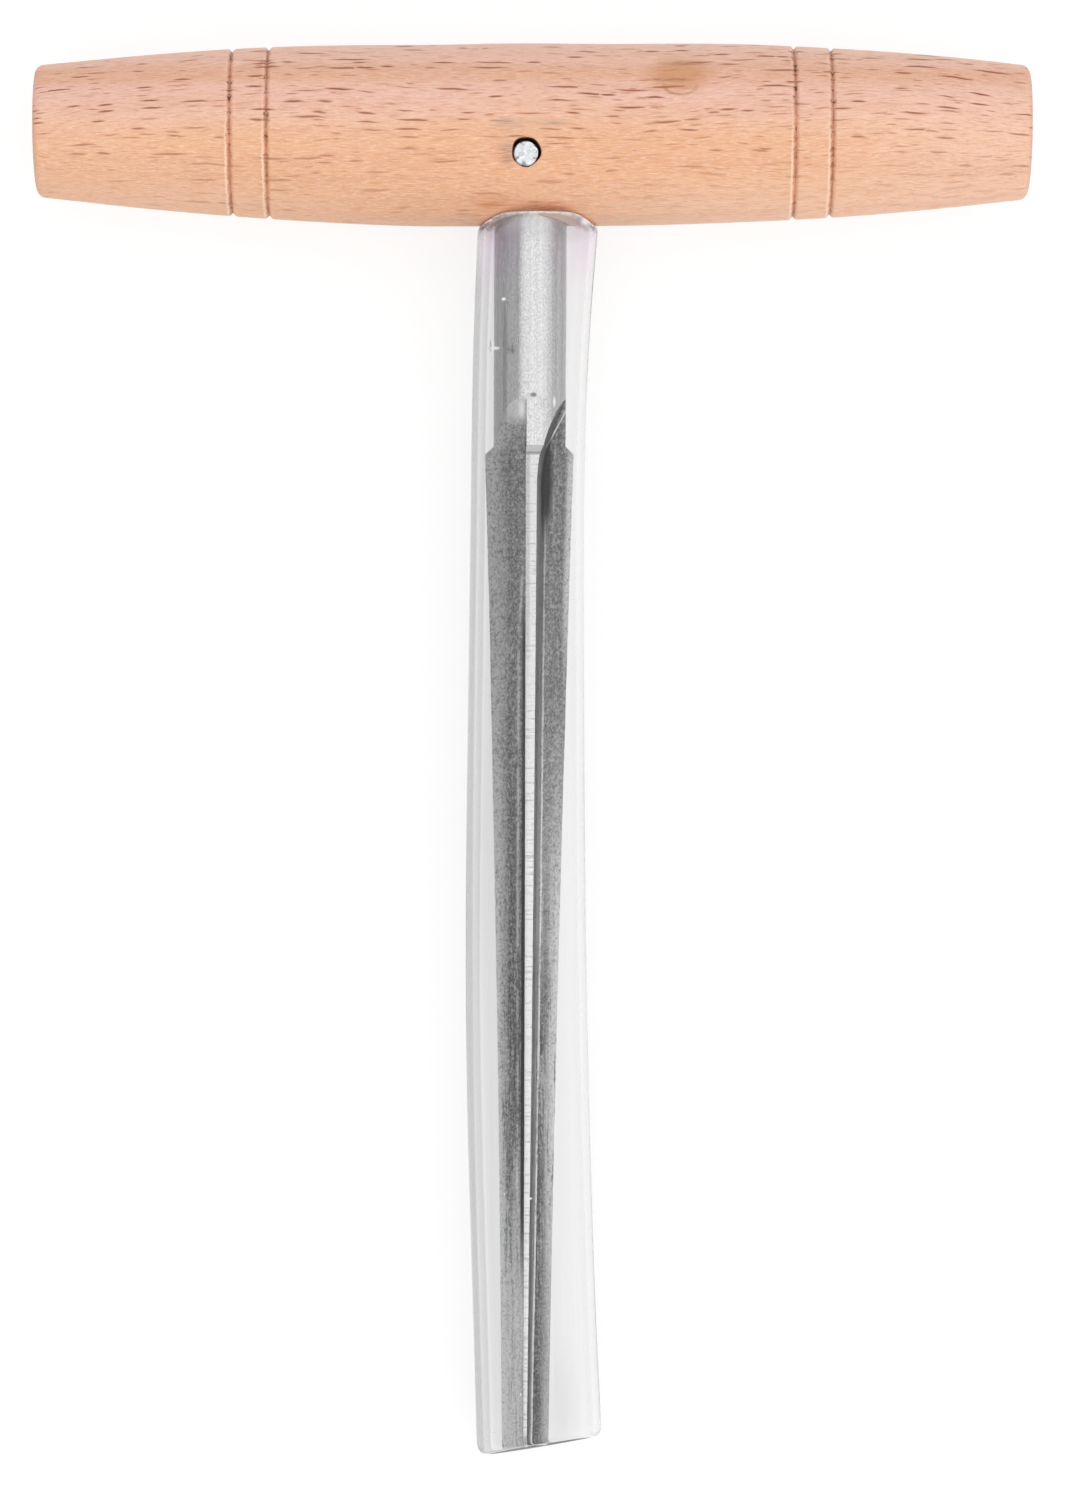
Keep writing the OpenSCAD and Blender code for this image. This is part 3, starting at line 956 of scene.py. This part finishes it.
def mottling(tree, point, marks, grain, speckle):
    """Layers of dark and pale spots, which stretch along the cutter and grow stronger towards the tip, but
    fade at the tip itself, and of finer specks."""
    along = marks["along"]
    lines = noise(tree, point, (3.2, 0.1, 3.2), 3.0, 0.7)
    stretched = between(tree, along, -50.0, -105.0, 0.2, 0.65)
    mottle = calc(tree, "MULTIPLY_ADD", calc(tree, "SUBTRACT", lines, grain), stretched, grain)
    more = between(tree, along, -66.0, -100.0, 1.0, 1.6)
    more = product(tree, more, between(tree, along, -106.0, -118.0, 1.0, 0.5))
    return (
        (product(tree, between(tree, mottle, 0.5, 0.62, 0.0, 0.45), more), MOTTLE_DARK),
        (product(tree, between(tree, mottle, 0.5, 0.38, 0.0, 0.38), more), MOTTLE_PALE),
        (between(tree, speckle, 0.5, 0.64, 0.0, 0.35), MOTTLE_DARK),
        (between(tree, speckle, 0.5, 0.36, 0.0, 0.3), MOTTLE_PALE),
    )


def flute_ends(tree, point, marks, right_flute, satin):
    """Layers laid last: a painted shadow along the root, painted shade that tapers down the right flute, a
    painted sliver of light by the shoulder, the run-out that fades into the shank, and a painted glint on
    it."""
    along = marks["along"]
    # Painted shadow along the root
    root_shadow = product(
        tree,
        marks["floor"],
        between(tree, marks["from_face"], 0.62, 0.42),
        between(tree, along, -120.0, -107.0),
        between(tree, along, -45.0, -51.0),
        between(tree, along, -60.0, -82.0, 0.8, 1.0),
    )
    narrowed = calc(tree, "ADD", marks["depth"], between(tree, along, -41.0, -36.0, -0.14, 0.0))
    # Painted shade near the right flute's root, tapering down
    right_root_shade = product(
        tree,
        right_flute,
        between(tree, along, -42.0, -37.5),
        between(tree, narrowed, 0.6, 0.85, 0.0, 0.95),
    )
    slanted = calc(tree, "MULTIPLY_ADD", along, -SLIVER_SLOPE, marks["across"])
    sliver = product(
        tree,
        right_flute,
        between(tree, away(tree, slanted, SLIVER_X), 0.04, 0.12, 0.8, 0.0),
        between(tree, along, -31.8, -31.2),
    )
    run_out = product(tree, marks["floor"], between(tree, along, -29.6, -28.0))
    glint = spot(tree, point, GLINT_PLACE, GLINT_HALF, 0.7)
    return (
        (root_shadow, grey(26, 2)),
        (right_root_shade, grey(24, 2)),
        (sliver, grey(226)),
        (run_out, satin),
        (glint, grey(250)),
    )


def ground_steel():
    """Tool steel: a turned skin, satin on the shank and bright on the lands, and dull mottled flutes, which
    have painted shade beside the root, are spotted near the shoulder and more streaked below."""
    material, tree, shader = new_material("ground_steel")
    point = millimetres(tree)
    across, along, _ = axes_of(tree, point)
    marks = {"across": across, "along": along}
    for name in ("flute", "floor", "cutting_face", "side_floor", "depth", "from_face"):
        marks[name] = stored(tree, name)
    right_flute = calc(tree, "MAXIMUM", marks["cutting_face"], marks["side_floor"])
    speckle = noise(tree, point, (7.0, 4.0, 7.0), 2.0, 0.7)
    grain = noise(tree, point, (3.4, 2.2, 3.4), 3.0, 0.7)
    # Painted highlight: the shoulder's cone is near white and barely metallic
    cone_highlight = between(tree, away(tree, along, CONE_Y), 0.42, 0.5, 1.0, 0.0)
    cone_highlight = product(tree, cone_highlight, calc(tree, "SUBTRACT", 1.0, marks["flute"]))
    satin = turned_steel(tree, point, speckle, cone_highlight)
    dull = coats(
        tree,
        flute_tone(tree, point, marks),
        *flute_lights(tree, point, marks, right_flute),
        *mottling(tree, point, marks, grain, speckle),
        *flute_ends(tree, point, marks, right_flute, satin),
    )
    tone = blend(tree, marks["flute"], satin, dull)

    scratch = noise(tree, point, (18.0, 0.3, 18.0), 2.0, 0.6)
    height = calc(tree, "MULTIPLY_ADD", product(tree, grain, marks["flute"]), 1.5, scratch)
    bump = node(tree, "Bump", {"Strength": 0.2, "Distance": 0.02 * MM, "Height": height})
    rough = calc(tree, "MULTIPLY_ADD", marks["flute"], 0.18, between(tree, scratch, 0.3, 0.7, 0.2, 0.28))
    rough = calc(tree, "MULTIPLY_ADD", cone_highlight, 0.3, rough)
    metal = calc(tree, "MULTIPLY_ADD", cone_highlight, -0.85, 1.0)
    fill(tree, shader, Base_Color=tone, Roughness=rough, Normal=bump, Metallic=metal)
    return material


reamer.data.materials.append(ground_steel())
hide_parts("reamer")
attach(reamer, "tool")


# Cross pin
# A short piece of steel rod driven through the handle and the tang, cut off and hammered flush by hand.
# Its ends lie just below the wood and keep the dents of the hammer.
PIN_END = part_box("cross_pin")[1][2] / MM
PIN_EDGE = 0.22
PIN_SPOKES = 64
PIN_RINGS = 14
PIN_DOME = 0.05
PIN_CROWN = 0.03
PIN_CALM = 0.2
# Dents: how many, how far out, and the middle value and spread of their width and depth
DENTS = 9
DENT_REACH = 1.1
DENT_WIDTH = (0.28, 0.12)
DENT_DEPTH = (0.06, 0.03)


def hammered(x, y, seed):
    """Height of a hammered end at x, y: a low dome and a few dents, each a smooth hollow."""
    dents = np.random.default_rng(seed).uniform(-1, 1, (DENTS, 4))
    height = PIN_DOME - PIN_CROWN * (x**2 + y**2)
    for across, along, size, depth in dents:
        wide = DENT_WIDTH[0] + DENT_WIDTH[1] * size
        far = ((x - DENT_REACH * across) ** 2 + (y - DENT_REACH * along) ** 2) / wide**2
        height = height - (DENT_DEPTH[0] + DENT_DEPTH[1] * depth) * np.exp(-far)
    return height


def pin_end(side, seed):
    """Rings of one end, from the middle out over its rounded edge: radius and height, with the dents."""
    turn = np.linspace(0, 2 * math.pi, PIN_SPOKES, endpoint=False)
    corner = np.linspace(0, math.pi / 2, 7)[1:]
    flat_r = np.linspace(0.08, PIN_R - PIN_EDGE, PIN_RINGS)
    radius = np.concatenate([flat_r, PIN_R - PIN_EDGE * (1 - np.sin(corner))])[:, None]
    drop = np.concatenate([np.zeros(PIN_RINGS), PIN_EDGE * (1 - np.cos(corner))])[:, None]
    x = radius * np.cos(turn)
    y = radius * np.sin(turn)
    z = PIN_END - drop + hammered(x, y, seed) * np.clip((PIN_R - radius) / PIN_CALM, 0, 1)
    return np.stack([PIN_X + x, PIN_Y + y, side * z], axis=-1)


front_end = pin_end(1, 4)
back_end = pin_end(-1, 9)
pin_rings = np.concatenate([front_end, back_end[::-1]])
numbers = np.arange(pin_rings.shape[0] * PIN_SPOKES).reshape(-1, PIN_SPOKES)
middles = np.array([front_end[0].mean(0), back_end[0].mean(0)])
pin = make_piece(
    "cross_pin_steel",
    np.concatenate([pin_rings.reshape(-1, 3), middles]),
    [ring_faces(numbers), fan_faces(numbers[0], numbers.size), fan_faces(numbers[-1], numbers.size + 1)],
)


def hammered_steel():
    """Bright steel rod with an uneven skin and patches of grey grime."""
    material, tree, shader = new_material("hammered_steel")
    grime = noise(tree, millimetres(tree), (1.5, 1.5, 1.5), 3.0, 0.55)
    dirty = between(tree, grime, 0.46, 0.68, 0.0, 0.8)
    tone = blend(tree, dirty, colour(212, 215, 218), colour(112, 114, 116))
    bump = node(tree, "Bump", {"Strength": 0.6, "Distance": 0.2 * MM, "Height": grime})
    fill(tree, shader, Base_Color=tone, Roughness=0.24, Normal=bump, Metallic=1.0)
    return material


pin.data.materials.append(hammered_steel())
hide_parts("cross_pin")
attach(pin, "tool")


# Sleeve
# A length of clear soft plastic tube pushed over the cutter to guard its edges. It is a little bowed, its
# top follows the handle's belly, and its lower end is cut at a slant.
SLEEVE_R = 6.0
SLEEVE_END_R = 6.3
SLEEVE_LENGTH = 124
SLEEVE_WALL = 0.8
SLEEVE_GAP = 0.1
SLEEVE_TOP = -8.1
SADDLE_SHARP = 6
SLEEVE_END_X = 1.1
SLEEVE_END_Y = -132.26
SLEEVE_SLANT = math.tan(math.radians(7.8))
SLEEVE_TILT = 0.65
SLEEVE_TOP_CORNER = 0.6
SLEEVE_TOP_TUCK = 0.35
SLEEVE_END_CORNER = 1.3
SLEEVE_END_TUCK = 0.6
SLEEVE_END_SHARE = 0.013
SLEEVE_LIP = 0.25
SLEEVE_SPOKES = 288
SLEEVE_ROWS = 90
CORNER_ROWS = 8
LIP_ROWS = 9
# How much of the width that the tube loses goes to its height
SQUASH = 0.15
# Ripples of the wall: height, waves round the tube, turn of the waves from top to end, and start
RIPPLES = ((0.02, 3, 9, 0), (0.015, 5, -14, 1))
# Heights of the frosted rim at the middle, of what it gains at the sides, and of the frosted cut
RIM_MIDDLE = 0.4
RIM_SIDES = 0.5
CUT_HEIGHT = 0.35
# Place along the cutter, sideways shift of the tube's middle and half its width there, as measured
SLEEVE_STATIONS = np.array(
    [
        (-134, 1.03, 6.36),
        (-118, 0.36, 6.2),
        (-98, -0.2, 6.17),
        (-75, -0.46, 6.03),
        (-52, -0.44, 5.82),
        (-34, -0.28, 5.74),
        (-20, 0.1, 5.87),
        (-8, 0.8, 6.1),
    ]
)
bow_y, bow_x, bow_width = SLEEVE_STATIONS.T


def saddle(z):
    """Where the tube's top edge lies at height z: square across, or just clear of the handle's round belly,
    whichever is lower, eased together by a soft maximum."""
    belly = np.sqrt((HANDLE_R + SLEEVE_GAP) ** 2 - z**2)
    return -np.logaddexp(SADDLE_SHARP * belly, -SADDLE_SHARP * SLEEVE_TOP) / SADDLE_SHARP


def sleeve_points(along, turn, inset):
    """Points of the tube's wall: along goes from its top to its slanted end, turn goes round it, and inset
    is the depth below its outer face. The section is a rippled oval about the bowed middle line, drawn in
    at both ends by a quarter of an ellipse."""
    ripple = sum(
        size * np.sin(waves * turn + twist * along + start) for size, waves, twist, start in RIPPLES
    )
    top = saddle(SLEEVE_R * np.sin(turn))
    end = SLEEVE_END_Y + SLEEVE_END_R * np.cos(turn) * SLEEVE_SLANT + SLEEVE_TILT * np.sin(turn)
    y = top + along * (end - top)
    near_top = np.clip(1 - (top - y) / SLEEVE_TOP_CORNER, 0, 1)
    near_end = np.clip(1 - (y - end) / SLEEVE_END_CORNER, 0, 1)
    inset = inset + SLEEVE_TOP_CORNER * SLEEVE_TOP_TUCK * (1 - np.sqrt(1 - near_top**2))
    inset = inset + SLEEVE_END_CORNER * SLEEVE_END_TUCK * (1 - np.sqrt(1 - near_end**2))
    wide = smooth_through(bow_y, bow_width, y) + ripple - inset
    high = SLEEVE_R + SQUASH * (SLEEVE_R - wide - inset) + ripple - inset
    x = smooth_through(bow_y, bow_x, y) + wide * np.cos(turn)
    return np.stack([x, y, high * np.sin(turn)], axis=-1)


turn = np.linspace(0, 2 * math.pi, SLEEVE_SPOKES, endpoint=False)
lip_turn = np.linspace(0, math.pi, LIP_ROWS)[1:-1]
lip_along = SLEEVE_LIP * np.sin(lip_turn) / SLEEVE_LENGTH
lip_inset = SLEEVE_WALL * (1 - np.cos(lip_turn)) / 2
corner_rows = np.linspace(0, SLEEVE_END_SHARE, CORNER_ROWS)
plain_rows = np.linspace(SLEEVE_END_SHARE, 1 - SLEEVE_END_SHARE, SLEEVE_ROWS)[1:-1]
wall_rows = np.concatenate([corner_rows, plain_rows, 1 - corner_rows[::-1]])
trim = SLEEVE_LIP / SLEEVE_LENGTH
wall_along = trim + wall_rows * (1 - 2 * trim)
tube_along = np.concatenate([wall_along, 1 - trim + lip_along, wall_along[::-1], trim - lip_along])
outer_inset = np.zeros(len(wall_along))
tube_inset = np.concatenate([outer_inset, lip_inset, outer_inset + SLEEVE_WALL, lip_inset[::-1]])
tube = sleeve_points(tube_along[:, None], turn[None, :], tube_inset[:, None])
numbers = np.arange(tube.shape[0] * tube.shape[1]).reshape(tube.shape[:2])
sleeve = make_piece("sleeve_clear", tube.reshape(-1, 3), [ring_faces(np.vstack([numbers, numbers[:1]]))])

sleeve_x, sleeve_y, sleeve_z = places(sleeve).T
tube_side = (sleeve_x - smooth_through(bow_y, bow_x, sleeve_y)) / smooth_through(bow_y, bow_width, sleeve_y)
keep_values(sleeve, "side", tube_side)
rim_height = RIM_MIDDLE + RIM_SIDES * np.abs(tube_side)
keep_values(sleeve, "rim", np.clip(1 - (saddle(sleeve_z) - sleeve_y) / rim_height, 0, 1))
cut_y = SLEEVE_END_Y + (sleeve_x - SLEEVE_END_X) * SLEEVE_SLANT + SLEEVE_TILT * sleeve_z / SLEEVE_R
keep_values(sleeve, "cut", np.clip(1 - (sleeve_y - cut_y) / CUT_HEIGHT, 0, 1))

# Painted reflection: lavender at the tube's top corners
REFLECTED_LAVENDER = (0.86, 0.74, 0.87, 1.0)
SCUFF_AND_GLINT_SOFT = 0.5
SCUFF_AND_GLINT_WHITE = 0.9
TIP_SHADE_PLACE, TIP_SHADE_HALF = (2.6, -130.0, 0.0), (2.4, 7.0, 9.0)
# Scuffs on the front of the tube, and one painted glint: place and half sizes
SCUFFS_AND_GLINT = [
    ((5.3, -9.0, 2.6), (0.6, 0.45, 1.5)),
    ((-4.6, -8.9, 3.4), (0.8, 0.14, 1.2)),
    ((-2.7, -16.9, 5.2), (0.22, 0.16, 1.0)),
    ((-3.8, -21.5, 4.3), (0.14, 0.6, 1.5)),
    ((-3.6, -21.8, 4.6), (0.5, 0.14, 1.5)),
    # Painted highlight: a glint on the cutter's run-out, seen through the tube
    ((2.35, -27.2, 5.1), (0.08, 0.5, 1.0)),
    ((-3.9, -130.5, 4.6), (0.3, 0.08, 1.0)),
    ((-2.6, -106.5, 5.5), (0.08, 0.08, 1.0)),
    ((0.05, -106.9, 6.0), (0.1, 0.1, 1.0)),
    ((-0.95, -126.5, 6.0), (0.1, 0.14, 1.0)),
]


def passed(level, cold=0.0):
    """The light that the plastic lets through, with so much more blue."""
    return (level, level, level + cold, 1.0)


def clear_plastic():
    """Clear soft plastic: a smooth skin, a grey haze with painted shade that makes it greyer on its left and
    near the cutter's tip, faint drawn streaks, a painted dark line at its right edge, a painted dark and a
    painted bright line down its left side, a painted lavender reflection at the top corners, a frosted cut
    end painted grey as shade, and scuffs of a little white, one of them a painted glint."""
    material, tree, shader = new_material("clear_plastic")
    point = millimetres(tree)
    along = axes_of(tree, point)[1]
    side = stored(tree, "side")
    streak = noise(tree, point, (2.0, 0.012, 2.0), 3.0, 0.6)
    scuff = noise(tree, point, (1.5, 0.12, 1.5), 4.0, 0.6)
    frosting = noise(tree, point, (1.2, 2.5, 1.2), 3.0, 0.6)
    # Painted shade: the haze is greyer on the left than on the right
    left = blend(tree, between(tree, along, -95.0, -70.0), passed(0.9, 0.005), passed(0.87, 0.005))
    right = blend(tree, between(tree, along, -75.0, -50.0), passed(0.968), passed(0.95))
    near_tip = product(tree, spot(tree, point, TIP_SHADE_PLACE, TIP_SHADE_HALF, 0.7), 0.35)
    drawn = product(tree, between(tree, streak, 0.45, 0.7), between(tree, side, -0.3, 0.5, 0.4, 0.12))
    # Painted reflection: a lavender cast at the top corners
    corner_reflection = between(tree, away(tree, side, 0.1), 0.2, 0.8, 0.0, 0.4)
    corner_reflection = product(tree, corner_reflection, between(tree, along, -17.0, -10.5))
    frost = between(tree, stored(tree, "rim"), 0.1, 0.8)
    frost = product(tree, frost, between(tree, frosting, 0.3, 0.6, 0.2, 0.7))
    frost = calc(tree, "MAXIMUM", frost, between(tree, along, -11.0, -9.2, 0.0, 0.13))
    # The cut end: frosted, and painted grey as shade
    cut = between(tree, stored(tree, "cut"), 0.3, 0.8)
    tint = coats(
        tree,
        left,
        (between(tree, side, -0.8, 0.1), right),
        (near_tip, passed(0.84)),
        # Painted shade: a dark line at the right edge
        (between(tree, side, 0.75, 0.97), passed(0.865)),
        (drawn, passed(0.84)),
        # A painted bright line and a painted dark line down the left edge
        (between(tree, side, -0.85, -0.8, 0.8, 0.0), passed(1.0)),
        (between(tree, side, -0.9, -0.86, 1.0, 0.0), passed(0.55, 0.005)),
        (corner_reflection, REFLECTED_LAVENDER),
        (frost, passed(0.97, 0.01)),
        # Painted shade on the frosted cut end
        (cut, grey(176, 2)),
    )
    clear = calc(tree, "MULTIPLY_ADD", cut, -0.8, calc(tree, "SUBTRACT", 1.0, frost))
    # Scuffs, and one painted glint
    for place, half in SCUFFS_AND_GLINT:
        clear = calc(tree, "MULTIPLY_ADD", spot(tree, point, place, half, SCUFF_AND_GLINT_SOFT), -SCUFF_AND_GLINT_WHITE, clear)
    rough = between(tree, scuff, 0.4, 0.8, 0.01, 0.05)
    bump = node(tree, "Bump", {"Strength": 0.08, "Distance": 0.05 * MM, "Height": scuff})
    fill(tree, shader, Base_Color=tint, Roughness=rough, Normal=bump, IOR=1.34, Transmission_Weight=clear)
    return material


sleeve.data.materials.append(clear_plastic())
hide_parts("sleeve")
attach(sleeve, "guard")


# Studio
# A plain pale table that just touches the handle's belly and the sleeve's far end, a soft overhead light,
# a bright ceiling that darkens towards the walls, and a camera straight above the tool.
FLOOR_HALF = 2500
FLOOR_UNDER_HANDLE = -HANDLE_R
FLOOR_UNDER_SLEEVE = -6.2
FLOOR_RAMP = (-4, -128)
FLOOR_NEAR = (-170, 30)
FLOOR_ROWS = 81
ramp_y = np.concatenate([[-FLOOR_HALF], np.linspace(*FLOOR_NEAR, FLOOR_ROWS), [FLOOR_HALF]])
share = np.clip((ramp_y - FLOOR_RAMP[0]) / (FLOOR_RAMP[1] - FLOOR_RAMP[0]), 0, 1)
ramp_z = FLOOR_UNDER_HANDLE + share * (FLOOR_UNDER_SLEEVE - FLOOR_UNDER_HANDLE)
floor_x = np.tile([-FLOOR_HALF, FLOOR_HALF], len(ramp_y))
floor_points = np.stack([floor_x, np.repeat(ramp_y, 2), np.repeat(ramp_z, 2)], axis=-1)
first = np.arange(len(ramp_y) - 1) * 2
floor_faces = np.stack([first, first + 1, first + 3, first + 2], axis=-1)
floor_mesh = bpy.data.meshes.new("floor")
floor_mesh.from_pydata((floor_points * MM).tolist(), [], floor_faces.tolist())
floor_mesh.shade_smooth()
floor = bpy.data.objects.new("floor", floor_mesh)
bpy.context.scene.collection.objects.link(floor)

TABLE_WHITE = (0.88, 0.88, 0.88, 1.0)
TABLE_SEEN = (0.26, 0.26, 0.26, 1.0)
TABLE_GLOW = 0.79
WHITE = (1.0, 1.0, 1.0, 1.0)


def white_table():
    """Matt white. What the eye, metal and glass see of it is mostly its own glow, so that shadows stay light
    and the rest reaches paper white, while the light that it throws back comes from its colour alone."""
    material, tree, shader = new_material("white_table")
    seen = node(tree, "LightPath", {}).node.outputs
    direct = calc(tree, "MAXIMUM", seen["Is Camera Ray"], seen["Is Glossy Ray"])
    direct = calc(tree, "MAXIMUM", direct, seen["Is Transmission Ray"])
    pale = blend(tree, direct, TABLE_WHITE, TABLE_SEEN)
    glow = product(tree, direct, TABLE_GLOW)
    fill(tree, shader, Base_Color=pale, Roughness=0.9, Specular_IOR_Level=0.0)
    fill(tree, shader, Emission_Color=WHITE, Emission_Strength=glow)
    return material


floor_mesh.materials.append(white_table())

# Where the bright ceiling ends and begins, in radians from straight up, and how bright it and the walls are
CEILING_LEFT = np.radians((-34, -27))
CEILING_RIGHT = np.radians((105, 40))
CEILING_ENDS = np.radians((80, 50))
CEILING_TILT = math.radians(-12)
CEILING_LEVEL = 0.74
LEFT_WALL = np.radians((-36, -44))
LEFT_WALL_LEVEL = 0.16
WALL_LEVELS = (0.52, 0.49)
world = bpy.data.worlds.new("studio")
bpy.context.scene.world = world
world.use_nodes = True
sky = world.node_tree
sky_x, sky_y, sky_z = axes_of(sky, node(sky, "TexCoord", {}, out="Generated"))
sideways = calc(sky, "ARCTAN2", sky_x, sky_z)
lengthways = away(sky, calc(sky, "ARCTAN2", sky_y, sky_z), CEILING_TILT)
ceiling = product(
    sky,
    between(sky, sideways, *CEILING_LEFT),
    between(sky, sideways, *CEILING_RIGHT),
    between(sky, lengthways, *CEILING_ENDS),
)
wall = between(sky, sky_z, 0.05, 0.3, *WALL_LEVELS)
wall = calc(sky, "ADD", wall, between(sky, sideways, *LEFT_WALL, 0.0, LEFT_WALL_LEVEL))
level = calc(sky, "MULTIPLY_ADD", ceiling, CEILING_LEVEL, wall)
fill(sky, sky.nodes["Background"], Color=WHITE, Strength=level)

LAMP_SIDE = 0.9
LAMP_WATTS = 0.9
LAMP_PLACE = (0.35, -0.45, 1.2)
LAMP_TURN = (math.radians(18), math.radians(16), 0)
lamp_data = bpy.data.lights.new("overhead", "AREA")
lamp_data.shape = "RECTANGLE"
lamp_data.size = LAMP_SIDE
lamp_data.size_y = LAMP_SIDE
lamp_data.energy = LAMP_WATTS
lamp = bpy.data.objects.new("overhead", lamp_data)
lamp.location = LAMP_PLACE
lamp.rotation_euler = LAMP_TURN
bpy.context.scene.collection.objects.link(lamp)

CAMERA_PLACE = np.array([0.35, -61.9, 640])
CAMERA_ROLL = math.radians(0.03)
CAMERA_LENS = 152.5
camera_data = bpy.data.cameras.new("camera")
camera_data.lens = CAMERA_LENS
camera = bpy.data.objects.new("camera", camera_data)
camera.location = CAMERA_PLACE * MM
camera.rotation_euler = (0, 0, CAMERA_ROLL)
bpy.context.scene.collection.objects.link(camera)
bpy.context.scene.camera = camera
bpy.context.scene.view_settings.view_transform = "Standard"
